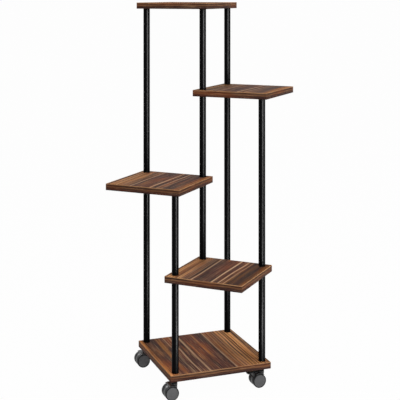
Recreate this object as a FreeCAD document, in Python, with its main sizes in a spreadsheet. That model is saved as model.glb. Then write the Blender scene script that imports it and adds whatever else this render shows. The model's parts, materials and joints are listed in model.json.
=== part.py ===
import FreeCAD, Part
import math
import os
import Sketcher

# Plant stand: a base board on four swivel casters, and four smaller shelves turned 45 degrees that climb
# around a centre post. Millimetres, +Z up, +X to the right, +Y to the back.
# The origin is on the floor below the centre post.

# Driving sizes, written once

SIZES = {
    # overall layout
    "post_spacing": 256,
    "base_overhang": 19,
    "shelf_overhang": 22,
    "board_thickness": 18,
    "base_to_front": 264,
    "front_to_left": 235,
    "left_to_right": 250,
    "right_to_top": 249,
    "board_arris": 0.8,
    # tubes and the hardware inside them
    "tube_diameter": 19,
    "tube_wall": 1,
    "plug_length": 18,
    "stud_diameter": 6,
    "stud_grip": 14,
    "stud_clearance": 0.4,
    "insert_diameter": 10,
    "insert_length": 12,
    "insert_hole_spare": 0.5,
    "washer_diameter": 16,
    "washer_thickness": 1.2,
    "screw_head_diameter": 11,
    "screw_head_height": 3.3,
    "screw_face_share": 0.6,
    "screw_bevel_share": 0.7,
    "screw_socket_flats": 4,
    "screw_socket_depth": 2,
    # caster: stem
    "caster_headroom": 12,
    "stem_diameter": 8,
    "stem_grip": 16,
    "stem_chamfer": 1,
    "collar_flats": 11,
    "collar_thickness": 3,
    "pivot_diameter": 6.5,
    "pivot_length": 21.5,
    "pivot_chamfer": 0.6,
    "running_clearance": 0.05,
    "swivel_gap": 0.3,
    # caster: wheels
    "caster_trail": 14,
    "wheel_diameter": 38,
    "wheel_width": 12,
    "wheel_spacing": 12,
    "rim_thickness": 2.8,
    "rim_face_width": 2.6,
    "rim_rise": 0.5,
    "tread_chamfer": 1.2,
    "face_thickness": 1.7,
    "hub_diameter": 8.4,
    "rib_thickness": 1.2,
    "rib_setback": 1.5,
    "rib_root": 0.4,
    "axle_diameter": 4,
    "axle_end_gap": 0.3,
    # caster: housing
    "side_gap": 0.5,
    "fender_gap": 0.9,
    "fender_wall": 1.5,
    "fender_front_angle": 50,
    "fender_rear_angle": 114,
    "fender_lug_angle": 119,
    "core_setback": 0.8,
    "core_rear_angle": 240,
    "core_foot_reach": 9,
    "core_foot_drop": 8,
    "axle_boss_diameter": 10,
    "socket_floor": 2,
    "neck_front": 1,
    "neck_back": 8,
    "neck_heel_back": 13,
    "neck_heel_drop": 7.2,
    "neck_cap_diameter": 12,
    "neck_cap_height": 11.2,
    "neck_chamfer": 1.2,
    # caster: brake
    "brake_pivot_back": 20,
    "brake_pivot_drop": 6.5,
    "brake_pin_diameter": 2.5,
    "brake_lug_radius": 3,
    "brake_lug_thickness": 2.5,
    "brake_arm_width": 10,
    "brake_barrel_radius": 2.6,
    "brake_arm_thickness": 2.8,
    "brake_pedal_width": 18,
    "brake_pedal_tip_back": 46,
    "brake_pedal_tip_drop": 3.9,
    "brake_pedal_start_back": 25,
    "brake_pedal_chamfer": 2,
    "brake_shoe_width": 33,
    "brake_shoe_gap": 2.25,
    "brake_shoe_angle": 137,
    "brake_shoe_half_angle": 4,
}

WHEEL_RIB_COUNT = 6
SHELF_TURN = 45
HALF_TURN = 180
FULL_TURN = 360
HEXAGON_STEP = 60
ZERO = 1e-9
NEAR = 1e-4

doc = FreeCAD.newDocument("PlantStand")
sheet = doc.addObject("Spreadsheet::Sheet", "Sizes")


class Length:
    """A size with its number and the sheet expression it comes from."""

    def __init__(self, value, text):
        self.value = value
        self.text = text

    def __add__(self, other):
        return Length(self.value + number(other), "(%s + %s)" % (self.text, words(other)))

    def __sub__(self, other):
        return Length(self.value - number(other), "(%s - %s)" % (self.text, words(other)))

    def __mul__(self, factor):
        return Length(self.value * number(factor), "(%s * %s)" % (self.text, words(factor)))

    def __truediv__(self, divisor):
        return Length(self.value / number(divisor), "(%s / %s)" % (self.text, words(divisor)))

    def __neg__(self):
        return Length(-self.value, "(-%s)" % self.text)


def number(term):
    return term.value if isinstance(term, Length) else float(term)


def words(term):
    return term.text if isinstance(term, Length) else repr(float(term))


def root(term):
    return Length(math.sqrt(term.value), "sqrt(%s)" % term.text)


def cosine(angle):
    return Length(math.cos(math.radians(angle.value)), "cos(%s)" % angle.text)


def sine(angle):
    return Length(math.sin(math.radians(angle.value)), "sin(%s)" % angle.text)


def size(name):
    return Length(float(SIZES[name]), "Sizes." + name)


for row, (alias, figure) in enumerate(SIZES.items(), start=1):
    sheet.set("A%d" % row, alias)
    sheet.set("B%d" % row, str(figure))
    sheet.setAlias("B%d" % row, alias)
doc.recompute()


# Helpers that tie a feature to the sheet

def bind(item, path, term):
    if isinstance(term, Length):
        item.setExpression(path, term.text)


def put(item, x, y, z, turn=0):
    """Set the item's placement: a turn about Z in degrees, then a shift tied to the sheet."""
    spin = FreeCAD.Rotation(FreeCAD.Vector(0, 0, 1), turn)
    item.Placement = FreeCAD.Placement(FreeCAD.Vector(number(x), number(y), number(z)), spin)
    bind(item, ".Placement.Base.x", x)
    bind(item, ".Placement.Base.y", y)
    bind(item, ".Placement.Base.z", z)


def new_body(name):
    body = doc.addObject("PartDesign::Body", name)
    body.Label = name
    return body


def new_sketch(body, name, role, offset=0):
    """A sketch on one of the body's own planes, moved along the plane's normal by offset."""
    plane = [item for item in body.Origin.OriginFeatures if item.Role == role][0]
    sketch = body.newObject("Sketcher::SketchObject", body.Name + "_" + name)
    sketch.AttachmentSupport = [(plane, "")]
    sketch.MapMode = "FlatFace"
    sketch.AttachmentOffset = FreeCAD.Placement(FreeCAD.Vector(0, 0, number(offset)), FreeCAD.Rotation())
    bind(sketch, ".AttachmentOffset.Base.z", offset)
    return sketch


def fix_point(sketch, shape, end, x, y):
    """Hold one point of a sketch at x, y from the sketch origin."""
    for kind, axis, term in (("DistanceX", -2, x), ("DistanceY", -1, y)):
        if not isinstance(term, Length) and abs(term) < ZERO:
            sketch.addConstraint(Sketcher.Constraint("PointOnObject", shape, end, axis))
        elif number(term) < 0:
            index = sketch.addConstraint(Sketcher.Constraint(kind, shape, end, -1, 1, -number(term)))
            sketch.setExpression("Constraints[%d]" % index, "-(%s)" % words(term))
        else:
            index = sketch.addConstraint(Sketcher.Constraint(kind, -1, 1, shape, end, number(term)))
            sketch.setExpression("Constraints[%d]" % index, words(term))


def draw_circle(sketch, x, y, diameter):
    centre = FreeCAD.Vector(number(x), number(y), 0)
    shape = sketch.addGeometry(Part.Circle(centre, FreeCAD.Vector(0, 0, 1), number(diameter) / 2), False)
    fix_point(sketch, shape, 3, x, y)
    index = sketch.addConstraint(Sketcher.Constraint("Diameter", shape, number(diameter)))
    bind(sketch, "Constraints[%d]" % index, diameter)


def draw_outline(sketch, points, arcs=None):
    """A closed outline through the points; arcs maps a side's number to its centre and sense."""
    arcs = arcs or {}
    flat = [FreeCAD.Vector(number(x), number(y), 0) for x, y in points]
    ends = []
    for side, start in enumerate(flat):
        stop = flat[(side + 1) % len(flat)]
        if side in arcs:
            centre_x, centre_y, backwards = arcs[side]
            centre = FreeCAD.Vector(number(centre_x), number(centre_y), 0)
            radius = start.distanceToPoint(centre)
            first, last = (stop, start) if backwards else (start, stop)
            turn_in = math.atan2(first.y - centre.y, first.x - centre.x)
            turn_out = math.atan2(last.y - centre.y, last.x - centre.x)
            circle = Part.Circle(centre, FreeCAD.Vector(0, 0, 1), radius)
            shape = sketch.addGeometry(Part.ArcOfCircle(circle, turn_in, turn_out), False)
            fix_point(sketch, shape, 3, centre_x, centre_y)
            ends.append((shape, 2, 1) if backwards else (shape, 1, 2))
        else:
            shape = sketch.addGeometry(Part.LineSegment(start, stop), False)
            ends.append((shape, 1, 2))
    for side, (shape, begin, finish) in enumerate(ends):
        follower, follower_begin, follower_finish = ends[(side + 1) % len(ends)]
        sketch.addConstraint(Sketcher.Constraint("Coincident", shape, finish, follower, follower_begin))
    for side, (shape, begin, finish) in enumerate(ends):
        after_arc = (side - 1) % len(ends) in arcs
        x, y = points[side]
        if after_arc:
            fix_height_only(sketch, shape, begin, y)
        else:
            fix_point(sketch, shape, begin, x, y)


def fix_height_only(sketch, shape, end, y):
    """The end of an arc already has its radius, so only its height is held."""
    index = sketch.addConstraint(Sketcher.Constraint("DistanceY", -1, 1, shape, end, number(y)))
    sketch.setExpression("Constraints[%d]" % index, words(y))


def pad(body, sketch, name, length, symmetric=False, backwards=False):
    feature = body.newObject("PartDesign::Pad", body.Name + "_" + name)
    feature.Profile = sketch
    feature.Length = number(length)
    bind(feature, "Length", length)
    if symmetric:
        feature.SideType = "Symmetric"
    feature.Reversed = backwards
    doc.recompute()
    return feature


def pocket(body, sketch, name, length=None, symmetric=False, backwards=False):
    """A pocket of the given depth, or through all; it has to take material away."""
    before = body.Shape.Volume
    feature = body.newObject("PartDesign::Pocket", body.Name + "_" + name)
    feature.Profile = sketch
    if length is None:
        feature.Type = "ThroughAll"
    else:
        feature.Length = number(length)
        bind(feature, "Length", length)
    if symmetric:
        feature.SideType = "Symmetric"
    feature.Reversed = backwards
    doc.recompute()
    if not feature.Shape.Volume < before:
        raise ValueError("%s takes nothing away" % feature.Name)
    return feature


def revolve(body, sketch, name):
    feature = body.newObject("PartDesign::Revolution", body.Name + "_" + name)
    feature.Profile = sketch
    feature.ReferenceAxis = (sketch, ["V_Axis"])
    feature.Angle = FULL_TURN
    doc.recompute()
    return feature


def dress(body, kind, name, wanted, amount):
    """Round or chamfer every edge of the body that wanted(edge) accepts."""
    base = body.Tip
    names = ["Edge%d" % (n + 1) for n, edge in enumerate(base.Shape.Edges) if wanted(edge)]
    if not names:
        raise ValueError("%s: no edge found for %s" % (body.Name, name))
    feature = body.newObject("PartDesign::" + kind, body.Name + "_" + name)
    feature.Base = (base, names)
    slot = "Radius" if kind == "Fillet" else "Size"
    setattr(feature, slot, number(amount))
    bind(feature, slot, amount)
    doc.recompute()
    return feature


# Edge choices

def level_outline(reach):
    """Level edges that lie on the outer faces of a square board of the given half side."""
    def wanted(edge):
        box = edge.BoundBox
        far = max(abs(box.XMin), abs(box.XMax), abs(box.YMin), abs(box.YMax))
        return box.ZLength < ZERO and abs(far - number(reach)) < NEAR
    return wanted


def rim_circle(radius, station):
    """The full circle of the given radius around Y at the given station along Y."""
    def wanted(edge):
        round_edge = isinstance(edge.Curve, Part.Circle)
        if not round_edge:
            return False
        same_radius = abs(edge.Curve.Radius - number(radius)) < NEAR
        return same_radius and abs(edge.Curve.Center.y - number(station)) < NEAR
    return wanted


# Layout: post positions and board levels

half_spacing = size("post_spacing") / 2
caster_height = size("wheel_diameter") + size("caster_headroom")
POSTS = {
    "front_left": (-half_spacing, -half_spacing),
    "front_right": (half_spacing, -half_spacing),
    "back_left": (-half_spacing, half_spacing),
    "back_right": (half_spacing, half_spacing),
    "centre": (0, 0),
}

thickness = size("board_thickness")
base_under = caster_height
base_top = base_under + thickness
front_top = base_top + size("base_to_front")
left_top = front_top + size("front_to_left")
right_top = left_top + size("left_to_right")
top_top = right_top + size("right_to_top")
TOP_OF = {
    "base": base_top,
    "front": front_top,
    "left": left_top,
    "right": right_top,
    "top": top_top,
}


def under(board):
    return TOP_OF[board] - thickness


# Boards

stud_hole = size("stud_diameter") + size("stud_clearance")
stem_hole = size("stem_diameter") + size("stud_clearance")
insert_hole_depth = size("insert_length") + size("insert_hole_spare")


def make_board(name, half_side, through_points, through_diameter, blind_points):
    """A square board with broken edges and holes; its origin is in the middle of its underside."""
    body = new_body(name)
    outline = new_sketch(body, "outline", "XY_Plane")
    draw_outline(outline, [
        (-half_side, -half_side),
        (half_side, -half_side),
        (half_side, half_side),
        (-half_side, half_side),
    ])
    pad(body, outline, "slab", thickness)
    dress(body, "Chamfer", "arris", level_outline(half_side), size("board_arris"))
    through = new_sketch(body, "through_holes", "XY_Plane")
    for x, y in through_points:
        draw_circle(through, x, y, through_diameter)
    if through_points:
        pocket(body, through, "through_pocket", backwards=True)
    else:
        doc.removeObject(through.Name)
    if blind_points:
        blind = new_sketch(body, "insert_holes", "XY_Plane")
        for x, y in blind_points:
            draw_circle(blind, x, y, size("insert_diameter"))
        pocket(body, blind, "insert_pocket", insert_hole_depth, backwards=True)
    return body


base_half = half_spacing + size("base_overhang")
base_points = [POSTS[key] for key in ("front_left", "front_right", "back_left", "back_right")]
base_board = make_board("base_board", base_half, base_points, stem_hole, [])
put(base_board, 0, 0, base_under)

# A turned shelf meets its posts near its corners. Each of the four points is named by the way it faces.
inset = half_spacing / root(Length(2.0, "2"))
shelf_half = inset + size("shelf_overhang")
FACING = {
    "back": (inset, inset),
    "left": (-inset, inset),
    "front": (-inset, -inset),
    "right": (inset, -inset),
}

# shelf: centre in plan, corners where one tube goes on into the next, corners where a tube ends below
SHELVES = {
    "front": ((0, -half_spacing), ("left", "right", "back"), ()),
    "left": ((-half_spacing, 0), ("back", "right"), ("front",)),
    "right": ((half_spacing, 0), ("left", "back"), ("front",)),
    "top": ((0, half_spacing), (), ("left", "right", "front")),
}

boards = [base_board]
for key, (centre, through_keys, blind_keys) in SHELVES.items():
    through_points = [FACING[k] for k in through_keys]
    blind_points = [FACING[k] for k in blind_keys]
    shelf = make_board(key + "_shelf", shelf_half, through_points, stud_hole, blind_points)
    put(shelf, centre[0], centre[1], under(key), SHELF_TURN)
    boards.append(shelf)


# Tubes

tube_bore = size("tube_diameter") - size("tube_wall") * 2

# tube: the post it belongs to, the board it stands on and the board it carries
TUBES = {
    "post_front_left_lower": ("front_left", "base", "front"),
    "post_front_left_upper": ("front_left", "front", "left"),
    "post_front_right_lower": ("front_right", "base", "front"),
    "post_front_right_upper": ("front_right", "front", "right"),
    "post_back_left_lower": ("back_left", "base", "left"),
    "post_back_left_upper": ("back_left", "left", "top"),
    "post_back_right_lower": ("back_right", "base", "right"),
    "post_back_right_upper": ("back_right", "right", "top"),
    "post_centre_lower": ("centre", "front", "left"),
    "post_centre_middle": ("centre", "left", "right"),
    "post_centre_upper": ("centre", "right", "top"),
}

tubes = []
for name, (post, lower, upper) in TUBES.items():
    body = new_body(name)
    ring = new_sketch(body, "ring", "XY_Plane")
    draw_circle(ring, 0, 0, size("tube_diameter"))
    draw_circle(ring, 0, 0, tube_bore)
    pad(body, ring, "wall", under(upper) - TOP_OF[lower])
    put(body, POSTS[post][0], POSTS[post][1], TOP_OF[lower])
    tubes.append(body)


# Hardware inside the tubes and boards

def cylinder(name, diameter, length, z=0):
    item = doc.addObject("Part::Cylinder", name)
    item.Radius = number(diameter) / 2
    bind(item, "Radius", diameter / 2)
    item.Height = number(length)
    bind(item, "Height", length)
    put(item, 0, 0, z)
    return item


def sleeve(name, outside, inside, length):
    item = doc.addObject("Part::Cut", name)
    item.Base = cylinder(name + "_outside", outside, length)
    item.Tool = cylinder(name + "_inside", inside, length)
    return item


def studded_plug(name, plug_at, rod_length, rod_at):
    """A plug with a threaded rod fixed in it, drawn at the outer diameter of its thread."""
    item = doc.addObject("Part::MultiFuse", name)
    item.Shapes = [
        cylinder(name + "_plug", tube_bore, size("plug_length"), plug_at),
        cylinder(name + "_rod", size("stud_diameter"), rod_length, rod_at),
    ]
    return item


def group(name, items):
    item = doc.addObject("Part::Compound", name)
    item.Label = name
    item.Links = items
    return item


# posts whose tube ends under the named board; everywhere else a next tube follows above it
ENDED = (
    ("front_left", "left"), ("front_right", "right"), ("back_left", "top"),
    ("back_right", "top"), ("centre", "top"),
)
# posts whose lowest tube is held from below, with the thread that comes up into it
HELD_FROM_BELOW = {
    ("front_left", "base"): "stem_diameter",
    ("front_right", "base"): "stem_diameter",
    ("back_left", "base"): "stem_diameter",
    ("back_right", "base"): "stem_diameter",
    ("centre", "front"): "stud_diameter",
}

nuts = []
joiners = []
enders = []
inserts = []
for name, (post, lower, upper) in TUBES.items():
    x, y = POSTS[post]
    if (post, lower) in HELD_FROM_BELOW:
        thread = size(HELD_FROM_BELOW[(post, lower)])
        foot = sleeve(name + "_foot_nut", tube_bore, thread, size("plug_length"))
        nuts.append(foot)
    else:
        reach = thickness + size("stud_grip")
        foot = studded_plug(name + "_foot_stud", 0, reach + size("plug_length"), -reach)
        joiners.append(foot)
    put(foot, x, y, TOP_OF[lower])
    if (post, upper) in ENDED:
        head_foot = -size("plug_length")
        head_length = size("plug_length") + size("insert_length")
        head = studded_plug(name + "_head_stud", head_foot, head_length, head_foot)
        enders.append(head)
        put(head, x, y, under(upper))
        insert_bore = size("stud_diameter")
        insert = sleeve(name + "_insert", size("insert_diameter"), insert_bore, size("insert_length"))
        inserts.append(insert)
        put(insert, x, y, under(upper))
    else:
        head = sleeve(name + "_head_nut", tube_bore, size("stud_diameter"), size("plug_length"))
        nuts.append(head)
        put(head, x, y, under(upper) - size("plug_length"))
tube_end_nuts = group("tube_end_nuts", nuts)
joining_studs = group("joining_studs", joiners)
end_studs = group("end_studs", enders)
insert_nuts = group("insert_nuts", inserts)

# The centre post starts on the front shelf and is held by a screw from below.
washer_bore = size("stud_diameter") + size("stud_clearance")
centre_washer = sleeve("centre_washer", size("washer_diameter"), washer_bore, size("washer_thickness"))
centre_washer.Label = "centre_washer"
put(centre_washer, 0, 0, under("front") - size("washer_thickness"))

centre_screw = new_body("centre_screw")
screw_profile = new_sketch(centre_screw, "profile", "XZ_Plane")
shank_radius = size("stud_diameter") / 2
head_radius = size("screw_head_diameter") / 2
head_height = size("screw_head_height")
shank_top = head_height + size("washer_thickness") + thickness + size("stud_grip")
draw_outline(screw_profile, [
    (0, 0),
    (head_radius * size("screw_face_share"), 0),
    (head_radius, head_height * size("screw_bevel_share")),
    (head_radius, head_height),
    (shank_radius, head_height),
    (shank_radius, shank_top),
    (0, shank_top),
])
revolve(centre_screw, screw_profile, "turned")


def hexagon(flats):
    """Corner points of a hexagon around the origin, from its width across flats."""
    reach = flats / root(Length(3.0, "3"))
    points = []
    for degrees in range(0, FULL_TURN, HEXAGON_STEP):
        angle = Length(float(degrees), str(degrees))
        points.append((reach * cosine(angle), reach * sine(angle) if degrees % HALF_TURN else 0))
    return points


screw_socket = new_sketch(centre_screw, "socket", "XY_Plane")
draw_outline(screw_socket, hexagon(size("screw_socket_flats")))
pocket(centre_screw, screw_socket, "socket_pocket", size("screw_socket_depth"), backwards=True)
put(centre_screw, 0, 0, under("front") - size("washer_thickness") - head_height)


# Casters, drawn with the swivel axis on Z, the floor at zero and the wheels trailing towards -X

wheel_radius = size("wheel_diameter") / 2
axle_x = -size("caster_trail")
core_width = size("wheel_spacing") - size("side_gap") * 2
overall_width = size("wheel_spacing") + size("wheel_width") * 2
fender_inner = wheel_radius + size("fender_gap")
fender_outer = fender_inner + size("fender_wall")
fender_middle = fender_inner + size("fender_wall") / 2
collar_low = caster_height - size("collar_thickness")
pivot_bottom = collar_low - size("pivot_length")
housing_top = collar_low - size("swivel_gap")
socket_bottom = pivot_bottom - size("swivel_gap")
brake_pivot_x = -size("brake_pivot_back")
brake_pivot_z = caster_height - size("brake_pivot_drop")
brake_lug_width = size("brake_arm_width") + (size("swivel_gap") + size("brake_lug_thickness")) * 2


def around_axle(radius, angle):
    """A point in the caster's side view at an angle from the front, seen from the axle."""
    return axle_x + radius * cosine(angle), wheel_radius + radius * sine(angle)


def on_fender(x, radius):
    """The height at x of a circle of the given radius around the axle."""
    across = x - axle_x
    return wheel_radius + root(radius * radius - across * across)


def make_stem(name):
    """Threaded stem, hexagonal collar under the board and the plain pivot that the housing turns on."""
    body = new_body(name)
    profile = new_sketch(body, "profile", "XZ_Plane")
    pivot = size("pivot_diameter") / 2
    chamfer = size("stem_chamfer")
    thread = size("stem_diameter") / 2
    top = base_top + size("stem_grip")
    draw_outline(profile, [
        (0, pivot_bottom),
        (pivot - size("pivot_chamfer"), pivot_bottom),
        (pivot, pivot_bottom + size("pivot_chamfer")),
        (pivot, collar_low),
        (thread, collar_low),
        (thread, top - chamfer),
        (thread - chamfer, top),
        (0, top),
    ])
    revolve(body, profile, "turned")
    collar = new_sketch(body, "collar", "XY_Plane", collar_low)
    draw_outline(collar, hexagon(size("collar_flats")))
    pad(body, collar, "collar_pad", size("collar_thickness"))
    return body


def make_housing(name, with_lugs):
    """Moulded body: core that fills the space between the wheels, fender over the treads, socket and neck."""
    body = new_body(name)
    front = size("fender_front_angle")
    rear = size("fender_lug_angle") if with_lugs else size("fender_rear_angle")
    core_radius = wheel_radius - size("core_setback")
    centre = (axle_x, wheel_radius)

    fender = new_sketch(body, "fender", "XZ_Plane")
    draw_outline(fender, [
        around_axle(fender_outer, front),
        around_axle(fender_outer, rear),
        around_axle(fender_inner, rear),
        around_axle(fender_inner, front),
    ], {0: (centre[0], centre[1], False), 2: (centre[0], centre[1], True)})
    pad(body, fender, "fender_pad", overall_width, symmetric=True)

    core = new_sketch(body, "core", "XZ_Plane")
    draw_outline(core, [
        around_axle(fender_middle, front),
        around_axle(fender_middle, rear),
        around_axle(core_radius, rear),
        around_axle(core_radius, size("core_rear_angle")),
        (axle_x + size("core_foot_reach"), wheel_radius - size("core_foot_drop")),
    ], {0: (centre[0], centre[1], False), 2: (centre[0], centre[1], False)})
    pad(body, core, "core_pad", core_width, symmetric=True)

    neck = new_sketch(body, "neck", "XZ_Plane")
    draw_outline(neck, [
        (size("neck_front"), wheel_radius + fender_middle * sine(front)),
        (size("neck_front"), housing_top),
        (-size("neck_back"), housing_top),
        (-size("neck_heel_back"), housing_top - size("neck_heel_drop")),
    ])
    pad(body, neck, "neck_pad", core_width, symmetric=True)
    dress(body, "Chamfer", "neck_chamfers", neck_edges, size("neck_chamfer"))

    cap = new_sketch(body, "cap", "XY_Plane", housing_top)
    draw_circle(cap, 0, 0, size("neck_cap_diameter"))
    pad(body, cap, "cap_pad", size("neck_cap_height"), backwards=True)

    socket = new_sketch(body, "socket_boss", "XY_Plane", socket_bottom - size("socket_floor"))
    draw_circle(socket, 0, 0, core_width)
    pad(body, socket, "socket_pad", housing_top - socket_bottom)

    hub = new_sketch(body, "axle_boss", "XZ_Plane")
    draw_circle(hub, centre[0], centre[1], size("axle_boss_diameter"))
    pad(body, hub, "axle_boss_pad", core_width, symmetric=True)

    if with_lugs:
        lugs = new_sketch(body, "brake_lugs", "XZ_Plane")
        lug = size("brake_lug_radius")
        draw_outline(lugs, [
            (brake_pivot_x - lug, on_fender(brake_pivot_x - lug, fender_middle)),
            (brake_pivot_x + lug, on_fender(brake_pivot_x + lug, fender_middle)),
            (brake_pivot_x + lug, brake_pivot_z),
            (brake_pivot_x - lug, brake_pivot_z),
        ], {2: (brake_pivot_x, brake_pivot_z, False)})
        pad(body, lugs, "lug_pad", brake_lug_width, symmetric=True)
        slot = new_sketch(body, "brake_slot", "XZ_Plane")
        slot_front = brake_pivot_x + lug + size("swivel_gap")
        slot_back = brake_pivot_x - lug - size("swivel_gap")
        slot_top = brake_pivot_z + lug * 2
        draw_outline(slot, [
            (slot_back, on_fender(slot_back, fender_outer)),
            (slot_front, on_fender(slot_front, fender_outer)),
            (slot_front, slot_top),
            (slot_back, slot_top),
        ])
        pocket(body, slot, "slot_pocket", size("brake_arm_width") + size("swivel_gap") * 2, symmetric=True)
        pin_hole = new_sketch(body, "brake_pin_hole", "XZ_Plane")
        draw_circle(pin_hole, brake_pivot_x, brake_pivot_z, size("brake_pin_diameter"))
        pocket(body, pin_hole, "pin_pocket", brake_lug_width * 2, symmetric=True)

    bore = new_sketch(body, "socket_bore", "XY_Plane", housing_top)
    draw_circle(bore, 0, 0, size("pivot_diameter") + size("running_clearance") * 2)
    pocket(body, bore, "socket_pocket", housing_top - socket_bottom)

    axle_hole = new_sketch(body, "axle_hole", "XZ_Plane")
    draw_circle(axle_hole, centre[0], centre[1], size("axle_diameter"))
    pocket(body, axle_hole, "axle_pocket", overall_width, symmetric=True)
    return body


def neck_edges(edge):
    """Edges of the neck block that stand clear above the fender on both of its sides."""
    box = edge.BoundBox
    on_side = abs(abs(box.YMin) - number(core_width) / 2) < NEAR and box.YLength < ZERO
    above = box.ZMin > number(wheel_radius + fender_outer) - number(size("fender_wall"))
    return on_side and above and box.ZLength > number(size("neck_chamfer"))


def make_axle(name):
    body = new_body(name)
    circle = new_sketch(body, "circle", "XZ_Plane")
    draw_circle(circle, axle_x, wheel_radius, size("axle_diameter"))
    bore_end = size("wheel_width") - size("rim_rise") - size("face_thickness")
    length = size("wheel_spacing") + (bore_end - size("axle_end_gap")) * 2
    pad(body, circle, "rod", length, symmetric=True)
    return body


def make_wheel(name):
    """Cupped wheel on Y: open on the inside at zero, closed by its flat face; ribs join hub and rim."""
    body = new_body(name)
    width = size("wheel_width")
    face = width - size("rim_rise")
    floor = face - size("face_thickness")
    bore = size("axle_diameter") / 2 + size("running_clearance")
    hub = size("hub_diameter") / 2
    rim_inside = wheel_radius - size("rim_thickness")
    ring_inside = wheel_radius - size("rim_face_width")
    profile = new_sketch(body, "profile", "XY_Plane")
    draw_outline(profile, [
        (bore, 0),
        (hub, 0),
        (hub, floor),
        (rim_inside, floor),
        (rim_inside, 0),
        (wheel_radius, 0),
        (wheel_radius, width),
        (ring_inside, width),
        (ring_inside, face),
        (0, face),
        (0, floor),
        (bore, floor),
    ])
    revolve(body, profile, "turned")
    ribs = new_sketch(body, "rib", "XZ_Plane", -size("rib_setback"))
    half_rib = size("rib_thickness") / 2
    root_in = hub - size("rib_root")
    root_out = rim_inside + size("rib_root")
    draw_outline(ribs, [
        (root_in, -half_rib),
        (root_out, -half_rib),
        (root_out, half_rib),
        (root_in, half_rib),
    ])
    rib = pad(body, ribs, "rib_pad", floor - size("rib_setback") + size("rib_root"), backwards=True)
    pattern = body.newObject("PartDesign::PolarPattern", body.Name + "_ribs")
    pattern.Originals = [rib]
    y_axis = [item for item in body.Origin.OriginFeatures if item.Role == "Y_Axis"][0]
    pattern.Axis = (y_axis, [""])
    pattern.Angle = FULL_TURN
    pattern.Occurrences = WHEEL_RIB_COUNT
    body.Tip = pattern
    doc.recompute()
    dress(body, "Chamfer", "tread_chamfer", rim_circle(wheel_radius, width), size("tread_chamfer"))
    return body


def make_brake_pin(name):
    body = new_body(name)
    circle = new_sketch(body, "circle", "XZ_Plane")
    draw_circle(circle, brake_pivot_x, brake_pivot_z, size("brake_pin_diameter"))
    pad(body, circle, "rod", brake_lug_width, symmetric=True)
    return body


def make_brake_pedal(name):
    """Pedal of the wheel brake: barrel on its pin, sloping pedal plate and a shoe over both treads."""
    body = new_body(name)
    half = size("brake_arm_thickness") / 2
    tip_x = -size("brake_pedal_tip_back")
    tip_z = brake_pivot_z - size("brake_pedal_tip_drop")
    start_x = -size("brake_pedal_start_back")
    slope = size("brake_pedal_tip_drop") / (brake_pivot_x - tip_x)
    start_z = tip_z + (start_x - tip_x) * slope

    barrel = new_sketch(body, "barrel", "XZ_Plane")
    draw_circle(barrel, brake_pivot_x, brake_pivot_z, size("brake_barrel_radius") * 2)
    pad(body, barrel, "barrel_pad", size("brake_arm_width"), symmetric=True)

    arm = new_sketch(body, "arm", "XZ_Plane")
    draw_outline(arm, [
        (tip_x + half, tip_z - half),
        (brake_pivot_x, brake_pivot_z - half),
        (brake_pivot_x, brake_pivot_z + half),
        (tip_x + half, tip_z + half),
    ])
    pad(body, arm, "arm_pad", size("brake_arm_width"), symmetric=True)

    plate = new_sketch(body, "plate", "XZ_Plane")
    draw_outline(plate, [
        (tip_x, tip_z - half),
        (start_x, start_z - half),
        (start_x, start_z + half),
        (tip_x, tip_z + half),
    ])
    pad(body, plate, "plate_pad", size("brake_pedal_width"), symmetric=True)
    dress(body, "Chamfer", "plate_corners", pedal_end_edges, size("brake_pedal_chamfer"))

    shoe = new_sketch(body, "shoe", "XZ_Plane")
    shoe_radius = wheel_radius + size("brake_shoe_gap")
    shoe_back = around_axle(shoe_radius, size("brake_shoe_angle") + size("brake_shoe_half_angle"))
    shoe_front = around_axle(shoe_radius, size("brake_shoe_angle") - size("brake_shoe_half_angle"))
    draw_outline(shoe, [
        shoe_back,
        shoe_front,
        (shoe_front[0], tip_z + (shoe_front[0] - tip_x) * slope),
        (shoe_back[0], tip_z + (shoe_back[0] - tip_x) * slope),
    ], {0: (axle_x, wheel_radius, True)})
    pad(body, shoe, "shoe_pad", size("brake_shoe_width"), symmetric=True)

    bore = new_sketch(body, "bore", "XZ_Plane")
    bore_diameter = size("brake_pin_diameter") + size("running_clearance") * 2
    draw_circle(bore, brake_pivot_x, brake_pivot_z, bore_diameter)
    pocket(body, bore, "bore_pocket", size("brake_shoe_width"), symmetric=True)
    return body


def pedal_end_edges(edge):
    """Upright edges at the free end of the pedal plate."""
    box = edge.BoundBox
    at_end = abs(box.XMin + number(size("brake_pedal_tip_back"))) < NEAR
    return at_end and box.XLength < ZERO and box.YLength < ZERO


WITH_BRAKE = ("front_right", "back_right")

caster_nodes = []
for corner in ("front_left", "front_right", "back_left", "back_right"):
    x, y = POSTS[corner]
    prefix = "caster_" + corner
    braked = corner in WITH_BRAKE
    pieces = [
        make_stem(prefix + "_stem"),
        make_housing(prefix + "_housing", braked),
        make_axle(prefix + "_axle"),
    ]
    if braked:
        pieces.append(make_brake_pin(prefix + "_brake_pin"))
        pieces.append(make_brake_pedal(prefix + "_brake_pedal"))
    for piece in pieces:
        put(piece, x, y, 0)
    front_wheel = make_wheel(prefix + "_front_wheel")
    put(front_wheel, x + axle_x, y - size("wheel_spacing") / 2, wheel_radius, HALF_TURN)
    back_wheel = make_wheel(prefix + "_back_wheel")
    put(back_wheel, x + axle_x, y + size("wheel_spacing") / 2, wheel_radius)
    caster_nodes += pieces + [front_wheel, back_wheel]


# Check and write every node

nodes = boards + tubes + [tube_end_nuts, joining_studs, end_studs, insert_nuts, centre_washer, centre_screw]
nodes += caster_nodes
doc.recompute()

for item in doc.Objects:
    if "Invalid" in item.State or "Error" in item.State:
        raise ValueError("%s is not up to date: %s" % (item.Name, item.State))

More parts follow.
